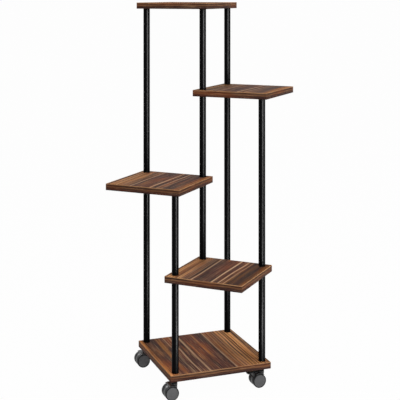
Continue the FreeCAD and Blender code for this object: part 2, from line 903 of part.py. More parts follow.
os.makedirs("parts", exist_ok=True)
for node in nodes:
    shape = node.Shape
    if shape.isNull() or not shape.isValid():
        raise ValueError("%s has no valid shape" % node.Label)
    shape.exportStep(os.path.join("parts", node.Label + ".step"))
    print("%-36s %3d solids %12.1f mm3" % (node.Label, len(shape.Solids), shape.Volume))
print("%d nodes" % len(nodes))
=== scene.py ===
# %% [markdown]
# # A rolling plant stand with turned shelves
#
# The packed CAD model gives every piece its size and its place. This script gives the pieces their looks:
# rustic plank boards with banded sides, black powder coat, moulded plastic and zinc-plated steel.
# Everything is in metres, with +Z up, -Y to the front and the floor at zero. No piece is fitted by eye: its
# place is read from the model.

# %% Load the model
import json
import math

import bmesh
import bpy
from mathutils import Matrix, Vector


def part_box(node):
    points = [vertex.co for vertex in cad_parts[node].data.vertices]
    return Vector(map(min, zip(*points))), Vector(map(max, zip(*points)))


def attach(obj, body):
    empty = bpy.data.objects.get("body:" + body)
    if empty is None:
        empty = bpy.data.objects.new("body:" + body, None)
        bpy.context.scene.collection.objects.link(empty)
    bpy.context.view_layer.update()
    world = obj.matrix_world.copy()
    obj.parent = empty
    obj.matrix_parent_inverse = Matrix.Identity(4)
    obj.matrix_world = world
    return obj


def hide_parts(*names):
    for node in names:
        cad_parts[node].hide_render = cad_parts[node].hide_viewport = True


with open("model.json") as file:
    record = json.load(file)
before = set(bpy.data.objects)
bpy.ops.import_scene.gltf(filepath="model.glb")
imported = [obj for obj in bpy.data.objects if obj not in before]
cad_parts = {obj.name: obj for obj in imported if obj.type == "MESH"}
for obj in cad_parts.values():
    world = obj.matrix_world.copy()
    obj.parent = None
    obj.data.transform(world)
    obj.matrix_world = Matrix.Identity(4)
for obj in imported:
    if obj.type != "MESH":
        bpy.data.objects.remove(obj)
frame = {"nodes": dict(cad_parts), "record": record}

QUARTER_TURN = math.radians(90)

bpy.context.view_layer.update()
nodes = frame["nodes"]
body_of = {}
for body, members in frame["record"]["behaviour"]["bodies"].items():
    for member in members:
        body_of[member] = body
slot_of = {part["node"]: part["material_slot"] for part in frame["record"]["subparts"]}

# %% [markdown]
# ## Camera
#
# The five posts stand exactly upright in the picture and the top shelf is seen almost edge-on. So the
# camera looks level from just above the top shelf, and the lens is shifted down until the casters come into
# the frame. Tilting the camera would frame the stand too, but the posts would lean towards each other. The
# focal length comes from the way the boards shrink with distance.

# %% Set up the camera
IMAGE_SIDE = 400
FOCAL_PIXELS = 1002.6
EYE_HEIGHT = 1.0956
EYE_PLACE = (-1.0175, -2.6874)
EYE_TURN = math.radians(-20.58)
LENS_SHIFT = -0.5189
SENSOR_WIDTH = 36
FAR_ENOUGH = 1000

camera_data = bpy.data.cameras.new("camera")
camera_data.sensor_width = SENSOR_WIDTH
camera_data.lens = SENSOR_WIDTH * FOCAL_PIXELS / IMAGE_SIDE
camera_data.shift_y = LENS_SHIFT
camera_data.clip_end = FAR_ENOUGH
camera = bpy.data.objects.new("camera", camera_data)
camera.location = (*EYE_PLACE, EYE_HEIGHT)
camera.rotation_euler = (QUARTER_TURN, 0, EYE_TURN)
bpy.context.scene.collection.objects.link(camera)
bpy.context.scene.camera = camera
bpy.context.scene.view_settings.view_transform = "Standard"
print("lens %.2f mm" % camera_data.lens)

# %% [markdown]
# ## Light and floor
#
# A tall soft panel stands to the right of the camera and a second one hangs overhead for the tops of the
# boards. An even pale world fills the rest. The base board shades its casters from all of these, so a low
# panel reaches them from the front and one behind on the left draws a bright edge on their tops.
#
# Black tubes hardly show a lamp, because they mirror the white floor as well as the lamp. So a narrow strip
# stands where its reflection falls right of the middle of every tube, and because the camera looks down on
# the lower tubes, a second strip lies on the floor in the same direction. Both are seen only in
# reflections.
#
# Where a studio would set up flags, light linking keeps the strips to the tubes and the last two panels to
# the casters: without it, such bright strips would glare on the boards from behind.
#
# The floor is white paper: most of what the camera sees of it glows evenly, and the rest is ordinary
# diffuse paper, which keeps the shadow under the stand. The paper runs on beyond the frame, so that no edge
# of it shows.

# %% Light the stand
SCENE_CENTRE = Vector((0, 0, 0.53))


def soft_panel(name, distance, azimuth, elevation, size, power):
    """A rectangular lamp that faces the stand. Azimuth 0 is straight in front, positive to the right."""
    turn, lift = math.radians(azimuth), math.radians(elevation)
    away = Vector((math.sin(turn) * math.cos(lift), -math.cos(turn) * math.cos(lift), math.sin(lift)))
    data = bpy.data.lights.new(name, "AREA")
    data.shape = "RECTANGLE"
    data.size, data.size_y = size
    data.energy = power
    lamp = bpy.data.objects.new(name, data)
    lamp.location = SCENE_CENTRE + away * distance
    lamp.rotation_euler = away.to_track_quat("Z", "Y").to_euler()
    bpy.context.scene.collection.objects.link(lamp)
    print(name, power, "W")
    return lamp


soft_panel("panel_right", distance=3.0, azimuth=24, elevation=8, size=(1.2, 3.0), power=52)
soft_panel("panel_top", distance=2.6, azimuth=-30, elevation=74, size=(1.8, 1.8), power=36)

# %% Reach the casters under the base board
LOW_PANEL_HEIGHT = 0.1

light_on_casters = bpy.data.collections.new("light_on_casters")
panel_low = soft_panel("panel_low", distance=1.4, azimuth=-22, elevation=0, size=(1.9, 0.18), power=13)
panel_low.location.z = LOW_PANEL_HEIGHT
panel_edge = soft_panel("panel_edge", distance=2.0, azimuth=-159, elevation=18, size=(0.8, 0.8), power=10)
for panel in (panel_low, panel_edge):
    panel.visible_camera = False
    panel.light_linking.receiver_collection = light_on_casters

# %% Draw the line on the tubes
STRIP_AZIMUTH = 12
FLOOR_STRIP_MIDDLE = 1.05
FLOOR_STRIP_HEIGHT = 0.004

standing_strip = soft_panel("standing_strip", distance=1.9, azimuth=STRIP_AZIMUTH, elevation=20,
                            size=(0.55, 2.3), power=500)
lying_strip = soft_panel("lying_strip", distance=1.9, azimuth=STRIP_AZIMUTH, elevation=0,
                         size=(0.22, 1.3), power=115)
strip_turn = math.radians(STRIP_AZIMUTH)
towards_strip = Vector((math.sin(strip_turn), -math.cos(strip_turn), 0))
lying_strip.location = towards_strip * FLOOR_STRIP_MIDDLE + Vector((0, 0, FLOOR_STRIP_HEIGHT))
lying_strip.rotation_euler = (math.pi, 0, strip_turn)
line_on_tubes = bpy.data.collections.new("line_on_tubes")
for strip in (standing_strip, lying_strip):
    strip.visible_diffuse = False
    strip.visible_camera = False
    strip.light_linking.receiver_collection = line_on_tubes

# %% Show white behind the stand without lighting it more
WORLD_LEVEL = 0.25
PAPER_WHITE = 0.8
PAPER_GLOW = 0.98
PAPER_REACH = 400


def backdrop_rays(tree):
    """One for a ray that shows the background to the eye, in a mirror or through glass, and else zero."""
    ray = tree.nodes.new("ShaderNodeLightPath")
    seen = ray.outputs["Is Camera Ray"]
    for kind in ("Is Glossy Ray", "Is Transmission Ray"):
        either = tree.nodes.new("ShaderNodeMath")
        either.operation = "MAXIMUM"
        tree.links.new(seen, either.inputs[0])
        tree.links.new(ray.outputs[kind], either.inputs[1])
        seen = either.outputs[0]
    return seen


world = bpy.data.worlds.new("studio")
bpy.context.scene.world = world
world.use_nodes = True
background = world.node_tree.nodes["Background"]
background.inputs["Color"].default_value = (1, 1, 1, 1)
level = world.node_tree.nodes.new("ShaderNodeMix")
level.inputs["A"].default_value = WORLD_LEVEL
level.inputs["B"].default_value = 1
world.node_tree.links.new(backdrop_rays(world.node_tree), level.inputs["Factor"])
world.node_tree.links.new(level.outputs["Result"], background.inputs["Strength"])
print("world lights at", WORLD_LEVEL)

# %% Lay the paper floor
floor_mesh = bpy.data.meshes.new("paper_floor")
paper_corners = [(x * PAPER_REACH, y * PAPER_REACH, 0) for x, y in ((-1, -1), (1, -1), (1, 1), (-1, 1))]
floor_mesh.from_pydata(paper_corners, [], [(0, 1, 2, 3)])
floor = bpy.data.objects.new("paper_floor", floor_mesh)
bpy.context.scene.collection.objects.link(floor)

paper = bpy.data.materials.new("white_paper")
paper.use_nodes = True
paper_tree = paper.node_tree
paper_tree.nodes.clear()
paper_output = paper_tree.nodes.new("ShaderNodeOutputMaterial")
paper_mix = paper_tree.nodes.new("ShaderNodeMixShader")
paper_diffuse = paper_tree.nodes.new("ShaderNodeBsdfDiffuse")
paper_diffuse.inputs["Color"].default_value = (PAPER_WHITE, PAPER_WHITE, PAPER_WHITE, 1)
paper_glow = paper_tree.nodes.new("ShaderNodeEmission")
paper_share = paper_tree.nodes.new("ShaderNodeMath")
paper_share.operation = "MULTIPLY"
paper_share.inputs[1].default_value = PAPER_GLOW
paper_tree.links.new(backdrop_rays(paper_tree), paper_share.inputs[0])
paper_tree.links.new(paper_share.outputs[0], paper_mix.inputs["Fac"])
paper_tree.links.new(paper_diffuse.outputs[0], paper_mix.inputs[1])
paper_tree.links.new(paper_glow.outputs[0], paper_mix.inputs[2])
paper_tree.links.new(paper_mix.outputs[0], paper_output.inputs["Surface"])
floor_mesh.materials.append(paper)
print("floor reaches", PAPER_REACH, "m")

# %% [markdown]
# ## A short way to write a finish
#
# Every finish here is a Principled shader fed by a few noises, ramps and sums. The class below adds one
# node per call and wires it at once, so that a finish reads from top to bottom like a list of steps.

# %% Write finishes as a list of steps


def linear(red, green, blue):
    """A colour written from 0 to 255, made linear."""
    shares = [channel / 255 for channel in (red, green, blue)]
    return (*[s / 12.92 if s <= 0.04045 else ((s + 0.055) / 1.055) ** 2.4 for s in shares], 1)


class Finish:
    """A material with a Principled shader and steps that feed it."""

    def __init__(self, name, specular=0.5):
        self.material = bpy.data.materials.new(name)
        self.material.use_nodes = True
        self.tree = self.material.node_tree
        self.shader = self.tree.nodes["Principled BSDF"]
        self.shader.inputs["Specular IOR Level"].default_value = specular

    def feed(self, socket, value):
        """Links the value if it comes from a node, or else writes it on the socket."""
        if isinstance(value, bpy.types.NodeSocket):
            self.tree.links.new(value, socket)
        else:
            socket.default_value = value

    def place(self, location=(0, 0, 0), turn=0.0):
        """The piece's own coordinates, turned about Z and then shifted."""
        coordinates = self.tree.nodes.new("ShaderNodeTexCoord")
        move = self.tree.nodes.new("ShaderNodeMapping")
        move.inputs["Location"].default_value = location
        move.inputs["Rotation"].default_value = (0, 0, turn)
        self.tree.links.new(coordinates.outputs["Object"], move.inputs["Vector"])
        return move.outputs[0]

    def noise(self, vector, scale=1.0, detail=2.0, roughness=0.5):
        node = self.tree.nodes.new("ShaderNodeTexNoise")
        self.feed(node.inputs["Vector"], vector)
        self.feed(node.inputs["Scale"], scale)
        node.inputs["Detail"].default_value = detail
        node.inputs["Roughness"].default_value = roughness
        return node.outputs["Fac"]

    def sum(self, kind, first, second=0.0, third=0.0):
        node = self.tree.nodes.new("ShaderNodeMath")
        node.operation = kind
        for socket, value in zip(node.inputs, (first, second, third)):
            self.feed(socket, value)
        return node.outputs[0]

    def times(self, value, by):
        return self.sum("MULTIPLY", value, by)

    def ramp(self, value, stops):
        """A colour ramp; stops are (position, colour or grey level), in rising order."""
        node = self.tree.nodes.new("ShaderNodeValToRGB")
        marks = node.color_ramp.elements
        while len(marks) < len(stops):
            marks.new(1.0)
        for mark, (position, colour) in zip(marks, stops):
            mark.position = position
            mark.color = colour if isinstance(colour, tuple) else (colour, colour, colour, 1)
        self.feed(node.inputs["Fac"], value)
        return node.outputs["Color"]

    def mix(self, share, first, second):
        node = self.tree.nodes.new("ShaderNodeMix")
        node.data_type = "RGBA"
        sockets = [s for s in node.inputs if s.enabled]
        for socket, value in zip(sockets, (share, first, second)):
            self.feed(socket, value)
        return [s for s in node.outputs if s.enabled][0]

    def layer(self, colour, layers, noises):
        """Lays colours over one another, each as strongly as its stops say for its noise."""
        for name, stops, over in layers:
            colour = self.mix(self.ramp(noises[name], stops), colour, over)
        return colour

    def split(self, vector):
        node = self.tree.nodes.new("ShaderNodeSeparateXYZ")
        self.feed(node.inputs[0], vector)
        return node.outputs

    def join(self, x, y, z):
        node = self.tree.nodes.new("ShaderNodeCombineXYZ")
        for socket, value in zip(node.inputs, (x, y, z)):
            self.feed(socket, value)
        return node.outputs[0]

    def colour(self, value):
        self.feed(self.shader.inputs["Base Color"], value)

    def roughness(self, value):
        self.feed(self.shader.inputs["Roughness"], value)

    def bump(self, height, depth, strength=1.0):
        node = self.tree.nodes.new("ShaderNodeBump")
        node.inputs["Strength"].default_value = strength
        node.inputs["Distance"].default_value = depth
        self.feed(node.inputs["Height"], height)
        self.tree.links.new(node.outputs[0], self.shader.inputs["Normal"])


print("finish steps", [step for step in vars(Finish) if not step.startswith("_")])

# %% [markdown]
# ## Handing a new piece over
#
# A new piece stands for one node of the model. It rides on the same body and hides the node. Its mesh is
# written straight into the model's coordinates, so the object itself stays at the origin.

# %% Make a piece from a mesh and put it in a node's place
SMOOTH_BELOW = math.radians(32)


def shade(bm):
    """Smooth wherever two faces meet at a small angle, sharp elsewhere."""
    for face in bm.faces:
        face.smooth = True
    for edge in bm.edges:
        edge.smooth = len(edge.link_faces) == 2 and edge.calc_face_angle(0) < SMOOTH_BELOW


def piece_from(bm, name, finishes):
    """A new object from a bmesh."""
    mesh = bpy.data.meshes.new(name)
    shade(bm)
    bm.to_mesh(mesh)
    bm.free()
    for finish in finishes:
        mesh.materials.append(finish)
    piece = bpy.data.objects.new(name, mesh)
    bpy.context.scene.collection.objects.link(piece)
    return piece


def stand_for(piece, node):
    """Puts the piece in the node's place and under the lamps that reach such a piece."""
    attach(piece, body_of[node])
    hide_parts(node)
    if node.startswith("post_"):
        line_on_tubes.objects.link(piece)
    if node.startswith("caster_"):
        light_on_casters.objects.link(piece)


def settle(piece):
    """Turns the modifiers' result into a plain mesh and removes the modifiers."""
    evaluated = piece.evaluated_get(bpy.context.evaluated_depsgraph_get())
    result = bpy.data.meshes.new_from_object(evaluated)
    piece.modifiers.clear()
    piece.data = result
    return piece


print("smooth below", round(math.degrees(SMOOTH_BELOW)), "degrees")

# %% [markdown]
# ## Plank boards with banded sides
#
# Each board is pressed wood under a printed face of rustic planks. The grain runs lengthwise on all four
# sides, where solid wood would show end grain on two of them, so the sides are a glued band. The board
# could stay the model's plain block. Here it is a stack of rounded squares, each a little smaller or higher
# than the last, because that gives the eased arris of the band and the fine seam between band and face in
# one closed mesh.

# %% Read the boards from the model
BOARDS = ("base_board", "front_shelf", "left_shelf", "right_shelf", "top_shelf")
ACROSS_SHELVES = math.radians(-45)
ACROSS_BASE = math.radians(180)


def board_facts(node):
    """Centre, underside, thickness, side and the way the planks lie, from the board's box."""
    low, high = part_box(node)
    reach = high.x - low.x
    turned = node != "base_board"
    side = reach / math.sqrt(2) if turned else reach
    across = ACROSS_SHELVES if turned else ACROSS_BASE
    centre = (low + high) / 2
    return {"centre": centre, "low": low.z, "thickness": high.z - low.z, "side": side, "across": across}


board_facts_of = {node: board_facts(node) for node in BOARDS}
for node, facts in board_facts_of.items():
    print(node, "side %.4f thickness %.4f" % (facts["side"], facts["thickness"]))

# %% Stack the squares of one board
BAND_THICKNESS = 0.0010
ARRIS = 0.0008
SEAM_HALF_WIDTH = 0.00012
SEAM_DEPTH = 0.00018
CORNER_RADIUS = 0.0010
CORNER_STEPS = 4
ARRIS_STEPS = 4
FACE_SLOT = 0
BAND_SLOT = 1


def board_profile(thickness):
    """(depth in from the side, height) from the underside's seam round the arrises to the top's seam."""
    seam = [
        (BAND_THICKNESS + SEAM_HALF_WIDTH, 0.0),
        (BAND_THICKNESS, SEAM_DEPTH),
        (BAND_THICKNESS - SEAM_HALF_WIDTH, 0.0),
    ]
    arris = []
    for step in range(ARRIS_STEPS + 1):
        turn = QUARTER_TURN * step / ARRIS_STEPS
        arris.append((ARRIS * (1 - math.sin(turn)), ARRIS * (1 - math.cos(turn))))
    lower = seam + arris
    upper = [(depth, thickness - height) for depth, height in reversed(lower)]
    return lower + upper


def rounded_square(half, depth, height, facts):
    """Points of one square ring, turned and moved to the board's place."""
    radius = max(CORNER_RADIUS - depth, SEAM_HALF_WIDTH)
    inner = half - depth - radius
    turn = Matrix.Rotation(facts["across"], 3, "Z")
    middle = Vector((facts["centre"].x, facts["centre"].y, facts["low"]))
    points = []
    for corner, (sx, sy) in enumerate(((1, 1), (-1, 1), (-1, -1), (1, -1))):
        for step in range(CORNER_STEPS + 1):
            angle = QUARTER_TURN * (corner + step / CORNER_STEPS)
            x = sx * inner + radius * math.cos(angle)
            y = sy * inner + radius * math.sin(angle)
            points.append(turn @ Vector((x, y, height)) + middle)
    return points


def board_mesh(facts):
    """The stack of squares of one board, closed above and below."""
    bm = bmesh.new()
    rings = []
    for depth, height in board_profile(facts["thickness"]):
        points = rounded_square(facts["side"] / 2, depth, height, facts)
        rings.append([bm.verts.new(point) for point in points])
    for lower, upper in zip(rings, rings[1:]):
        for index in range(len(lower)):
            after = (index + 1) % len(lower)
            face = bm.faces.new((lower[index], lower[after], upper[after], upper[index]))
            face.material_index = BAND_SLOT
    bm.faces.new(list(reversed(rings[0]))).material_index = FACE_SLOT
    bm.faces.new(rings[-1]).material_index = FACE_SLOT
    bmesh.ops.recalc_face_normals(bm, faces=bm.faces)
    return bm


print("board profile has", len(board_profile(board_facts_of["base_board"]["thickness"])), "rings")

# %% [markdown]
# ## The plank face
#
# The face shows about six planks with cream lines where their edges are rubbed bare. It could be an image
# wrapped on the board, but here noises draw it, so it stays sharp at any distance. Along the grain
# everything is drawn out, so each noise is read with its coordinate across the planks multiplied far more
# than the one along them. A slow wander bends the lines a little. Tones are written as shares of the
# board's width, so that all boards agree.
#
# The tones are the same on all five boards. Each board has three amounts of its own that make its first,
# middle and last planks lighter or darker. They are painted light: they lift or lower each board to make up
# for the light it gets, the base board most against the shade the shelves cast on it. The first plank has
# fine veins too.

# %% Choose the tones of the planks
STRIP_TONES = (
    (0.00, linear(156, 112, 76)), (0.12, linear(152, 104, 66)), (0.215, linear(138, 92, 60)),
    (0.245, linear(84, 54, 44)), (0.270, linear(122, 80, 54)), (0.300, linear(82, 52, 43)),
    (0.325, linear(116, 74, 52)), (0.350, linear(72, 48, 44)),
    (0.46, linear(90, 54, 44)), (0.60, linear(78, 49, 43)), (0.62, linear(66, 42, 38)),
    (0.695, linear(78, 47, 39)), (0.71, linear(90, 54, 42)), (0.765, linear(72, 46, 41)),
    (0.78, linear(72, 48, 43)), (0.90, linear(82, 53, 43)), (0.94, linear(118, 72, 44)),
    (0.97, linear(172, 108, 58)), (1.00, linear(196, 128, 70)),
)
PALE_WOOD = linear(240, 194, 152)
CHAR = linear(34, 22, 22)
EMBER = linear(150, 78, 40)
HONEY = linear(206, 136, 66)
STRAW = linear(216, 164, 112)
print("tones across a board", len(STRIP_TONES))

# %% Paint each board's light plank by plank
# Painted light: each board's amounts lighten or darken it for the light it gets, the base board most.
BOARD_LIGHT_PAINTED = {
    "base_board": (2.15, 2.2, 1.9),
    "front_shelf": (1.72, 1.1, 0.5),
    "left_shelf": (1.35, 1.03, 1.0),
    "right_shelf": (0.7, 0.7, 0.74),
    "top_shelf": (0.9, 0.9, 0.9),
}
MIDDLE_FADES_IN = (0.21, 0.235)
LAST_FADES_IN = (0.76, 0.79)


def paint_board_light(finish, colour, share, amounts):
    """The colour scaled by painted light: an amount of its own in the first plank, the middle and the last
    plank.
    """
    first, middle, last = [amount / max(amounts) for amount in amounts]
    steps = ((0.0, first), (MIDDLE_FADES_IN[0], first), (MIDDLE_FADES_IN[1], middle),
             (LAST_FADES_IN[0], middle), (LAST_FADES_IN[1], last))
    lift = finish.times(finish.ramp(share, steps), max(amounts))
    node = finish.tree.nodes.new("ShaderNodeVectorMath")
    node.operation = "SCALE"
    finish.feed(node.inputs["Vector"], colour)
    finish.feed(node.inputs["Scale"], lift)
    return node.outputs["Vector"]


print("boards stained", len(BOARD_LIGHT_PAINTED))

# %% Rub the planks' edges bare
PALE_LINES = (
    (0.228, 0.0065, 0.45), (0.256, 0.0045, 0.35), (0.287, 0.0055, 0.45), (0.340, 0.0100, 0.85),
    (0.607, 0.0135, 1.00), (0.698, 0.0095, 0.90), (0.758, 0.0065, 0.50),
)
RUBBED = {"base_board": 1.0, "front_shelf": 0.9, "left_shelf": 0.6, "right_shelf": 0.55, "top_shelf": 0.6}
LINES_BREAK_UP = ((0.28, 0.5), (0.55, 1.0))


def pale_lines(finish, share, seeded, seed, rubbed):
    """How bare the wood is: a hump of its own strength over each line, broken up along it."""
    stops = [(0.0, 0.0)]
    for position, reach, strength in PALE_LINES:
        worn = strength * rubbed
        stops += [(position - reach, 0.0), (position - reach / 2, worn)]
        stops += [(position + reach / 2, worn), (position + reach, 0.0)]
    breaks = finish.noise(finish.join(finish.times(share, 30.0), seeded, seed), 6.0, 2.0)
    return finish.times(finish.ramp(share, stops), finish.ramp(breaks, LINES_BREAK_UP))


print("pale lines", len(PALE_LINES))

# %% Draw the grain
GRAINS = {
    "fibres": ((420.0, 9.0, 60.0), 5.0, 0.62),
    "rings": ((110.0, 3.5, 30.0), 3.0, 0.6),
    "pores": ((1500.0, 55.0, 90.0), 2.0, 0.6),
    "streaks": ((52.0, 2.6), 4.0, 0.66),
    "patches": ((16.0, 7.0), 3.0, 0.55),
    "glow": ((11.0, 5.0), 2.0, 0.5),
    "veins": ((330.0, 2.5), 0.0, 0.5),
}


def grain(finish, kind, *place):
    """A drawn-out noise. A kind of grain is its rates per metre, its detail and its roughness.

    Where it has only two rates, the third coordinate is read as it is.
    """
    rates, detail, roughness = GRAINS[kind]
    stretched = [finish.times(value, rate) for value, rate in zip(place, rates)]
    return finish.noise(finish.join(*stretched, *place[len(rates):]), 1.0, detail, roughness)


def board_place(finish, facts):
    """Coordinates across the planks, along them and up, from the middle of the board's underside."""
    turn = -facts["across"]
    middle = Matrix.Rotation(turn, 3, "Z") @ facts["centre"]
    return finish.split(finish.place((-middle.x, -middle.y, -facts["low"]), turn))


print("kinds of grain", list(GRAINS))

# %% Mix the plank face
FACE_LAYERS = (
    ("patches", ((0.46, 0.0), (0.70, 0.5)), EMBER),
    ("glow", ((0.56, 0.0), (0.74, 0.4)), HONEY),
    ("streaks", ((0.36, 0.88), (0.50, 0.0)), CHAR),
    ("streaks", ((0.53, 0.0), (0.70, 0.50)), HONEY),
    ("rings", ((0.34, 0.75), (0.52, 0.0)), CHAR),
    ("fibres", ((0.52, 0.0), (0.74, 0.38)), PALE_WOOD),
    ("fibres", ((0.26, 0.5), (0.44, 0.0)), CHAR),
    ("pores", ((0.58, 0.0), (0.66, 0.5)), CHAR),
)
FIRST_PLANK = ((0.205, 1.0), (0.225, 0.0))
DARK_VEINS = ((0.34, 0.8), (0.49, 0.0))
PALE_VEINS = ((0.54, 0.0), (0.66, 0.5))
BETWEEN_VEINS = ((0.44, 0.1), (0.54, 1.0))
GOLDEN_END = {"base_board": 0.6}
GOLDEN_FROM = 0.4
LINE_WANDER = 0.010
SEED_STEP = 3.7
BOARD_SHINE = 0.08
WOOD_ROUGHNESS = ((0.3, 0.6), (0.7, 0.76))
WOOD_RELIEF = 0.0003
RELIEF_STRENGTH = 0.4


def plank_face(node, seed):
    """The printed planks of one board."""
    facts = board_facts_of[node]
    finish = Finish("plank_face_" + node, specular=BOARD_SHINE)
    across, along, up = board_place(finish, facts)
    seeded = finish.sum("ADD", along, seed)
    wander = finish.noise(finish.join(finish.times(across, 3.0), seeded, seed), 5.0, 1.0)
    sway = finish.sum("MULTIPLY_ADD", finish.sum("SUBTRACT", wander, 0.5), LINE_WANDER, across)
    share = finish.sum("MULTIPLY_ADD", sway, 1 / facts["side"], 0.5)
    noises = {kind: grain(finish, kind, sway, seeded, up) for kind in ("fibres", "rings", "pores")}
    noises["streaks"] = grain(finish, "streaks", sway, seeded, seed + 2.0)
    noises["patches"] = grain(finish, "patches", across, seeded, seed)
    noises["glow"] = grain(finish, "glow", across, seeded, seed + 9.0)
    wood = finish.layer(finish.ramp(share, STRIP_TONES), FACE_LAYERS, noises)

    veins = grain(finish, "veins", sway, seeded, seed + 5.0)
    in_first_plank = finish.ramp(share, FIRST_PLANK)
    for stops, over in ((DARK_VEINS, CHAR), (PALE_VEINS, STRAW)):
        wood = finish.mix(finish.times(finish.ramp(veins, stops), in_first_plank), wood, over)
    wood = paint_board_light(finish, wood, share, BOARD_LIGHT_PAINTED[node])
    if node in GOLDEN_END:
        length = finish.sum("MULTIPLY_ADD", along, 1 / facts["side"], 0.5)
        towards_end = finish.ramp(length, ((GOLDEN_FROM, 0.0), (1.0, GOLDEN_END[node])))
        golden = finish.times(finish.times(towards_end, in_first_plank), finish.ramp(veins, BETWEEN_VEINS))
        wood = finish.mix(golden, wood, HONEY)

    finish.colour(finish.mix(pale_lines(finish, share, seeded, seed, RUBBED[node]), wood, PALE_WOOD))
    finish.roughness(finish.ramp(noises["fibres"], WOOD_ROUGHNESS))
    relief = finish.sum("ADD", finish.times(noises["fibres"], 0.7), finish.times(noises["rings"], 0.5))
    finish.bump(relief, WOOD_RELIEF, RELIEF_STRENGTH)
    return finish.material


print("layers on a plank face", len(FACE_LAYERS))

# %% [markdown]
# ## The banded sides
#
# The band's grain runs round the board. Across and along can be added to give one running length for all
# four sides, because one of the two is constant on each side. From bottom to top the band is dark, brown,
# tan and then pale at the arris.

# %% Choose the tones of the band
BAND_TONES = (
    (0.00, linear(36, 24, 24)), (0.12, linear(66, 42, 40)), (0.28, linear(86, 56, 49)),
    (0.38, linear(70, 45, 39)), (0.48, linear(112, 75, 55)), (0.58, linear(150, 104, 70)),
    (0.66, linear(110, 71, 49)), (0.76, linear(68, 44, 37)), (0.86, linear(90, 59, 47)),
    (0.93, linear(188, 138, 96)), (1.00, linear(214, 162, 114)),
)
# Painted light: each board's band is scaled to the light level it gets, since the real boards share one
# finish.
BAND_LIGHT_PAINTED = {
    "base_board": 0.95, "front_shelf": 0.88, "left_shelf": 0.72, "right_shelf": 0.75, "top_shelf": 0.75,
}


def band_tones(node):
    """The band's tones, lightened or darkened by this board's painted light."""
    depth = BAND_LIGHT_PAINTED[node]
    return [(position, (*[channel * depth for channel in colour[:3]], 1)) for position, colour in BAND_TONES]


print("tones up the band", len(BAND_TONES))

# %% Mix the side band
BAND_LAYERS = (
    ("patches", ((0.48, 0.0), (0.72, 0.4)), EMBER),
    ("fibres", ((0.30, 0.65), (0.48, 0.0)), CHAR),
    ("pores", ((0.58, 0.0), (0.66, 0.45)), CHAR),
    ("fibres", ((0.54, 0.0), (0.74, 0.42)), PALE_WOOD),
)
BAND_WANDER = 0.30
NEAR_ARRIS = ((0.86, 0.0), (0.93, 1.0))


def side_band(node, seed):
    """The glued band of one board."""
    facts = board_facts_of[node]
    finish = Finish("side_band_" + node, specular=BOARD_SHINE)
    across, along, up = board_place(finish, facts)
    run = finish.sum("ADD", finish.sum("ADD", across, along), seed)
    height = finish.times(up, 1 / facts["thickness"])
    wave = finish.noise(finish.join(finish.times(run, 20.0), seed, height), 1.0, 3.0)
    bent = finish.sum("MULTIPLY_ADD", finish.sum("SUBTRACT", wave, 0.5), BAND_WANDER, height)
    settled = finish.mix(finish.ramp(height, NEAR_ARRIS), bent, height)
    fibre_place = finish.join(finish.times(run, 18.0), seed, finish.times(bent, 16.0))
    pore_place = finish.join(finish.times(run, 55.0), seed, finish.times(bent, 30.0))
    patch_place = finish.join(finish.times(run, 11.0), seed + 4.0, height)
    noises = {
        "fibres": finish.noise(fibre_place, 1.0, 5.0, 0.62),
        "pores": finish.noise(pore_place, 1.0, 2.0, 0.6),
        "patches": finish.noise(patch_place, 1.0, 2.0),
    }
    finish.colour(finish.layer(finish.ramp(settled, band_tones(node)), BAND_LAYERS, noises))
    finish.roughness(finish.ramp(noises["fibres"], WOOD_ROUGHNESS))
    finish.bump(noises["fibres"], WOOD_RELIEF, RELIEF_STRENGTH)
    return finish.material


print("layers on a side band", len(BAND_LAYERS))

# %% Make the five boards
for number, node in enumerate(BOARDS):
    seed = SEED_STEP * (number + 1)
    finishes = [plank_face(node, seed), side_band(node, seed)]
    board = piece_from(board_mesh(board_facts_of[node]), node + "_faced", finishes)
    stand_for(board, node)
    print(board.name, len(board.data.polygons), "faces")

# %% [markdown]
# ## Black powder coat
#
# The tubes are steel with a baked powder coat: nearly black, satin, with a very fine orange-peel surface.
# Two noises are enough for it, a fine one for the peel and a wide one for the slightly uneven shine. The
# model's tube could take the coat as it is. It is spun again here with more facets and with eased ends,
# because a sawn tube is deburred before it is coated and the coat runs round that edge.

# %% Mix the powder coat
PEEL_PER_METRE = 900.0
HANDLING_PER_METRE = 14.0
COAT_SHINE = 0.025
PEEL_DEPTH = 0.00002
PEEL_STRENGTH = 0.02


def powder_coat():
    finish = Finish("black_powder_coat", specular=COAT_SHINE)
    here = finish.place()
    peel = finish.noise(here, PEEL_PER_METRE, 3.0)
    handling = finish.noise(here, HANDLING_PER_METRE, 3.0)
    finish.colour(finish.mix(finish.ramp(peel, ((0.35, 0.0), (0.7, 1.0))), linear(3, 3, 4), linear(7, 7, 8)))
    finish.roughness(finish.ramp(handling, ((0.3, 0.31), (0.7, 0.37))))
    finish.bump(peel, PEEL_DEPTH, PEEL_STRENGTH)
    return finish.material


tube_paint = powder_coat()
print("coat", tube_paint.name)

# %% Spin an outline about an axis
ROUND_STEPS = 5


def corner_arc(centre, radius, start, stop):
    """Points on an arc in (distance from the axis, place along it), angles in degrees."""
    points = []
    for step in range(ROUND_STEPS + 1):
        angle = math.radians(start + (stop - start) * step / ROUND_STEPS)
        points.append((centre[0] + radius * math.cos(angle), centre[1] + radius * math.sin(angle)))
    return points


def spun(outline, steps, point):
    """A bmesh and its rings; point turns (distance, place along, angle) into a place in the model."""
    bm = bmesh.new()
    rings = []
    angles = [2 * math.pi * step / steps for step in range(steps)]
    for distance, along in outline:
        rings.append([bm.verts.new(point(distance, along, angle)) for angle in angles])
    return bm, rings


def skin(bm, first, second, slot=0):
    """Faces between two rings of the same length."""
    for index in range(len(first)):
        after = (index + 1) % len(first)
        bm.faces.new((first[index], first[after], second[after], second[index])).material_index = slot


print("points on a rounded corner", ROUND_STEPS + 1)

# %% Spin the eleven tubes
TUBE_WALL = 0.001
TUBE_END_ROUND = 0.0002
TUBE_STEPS = 72


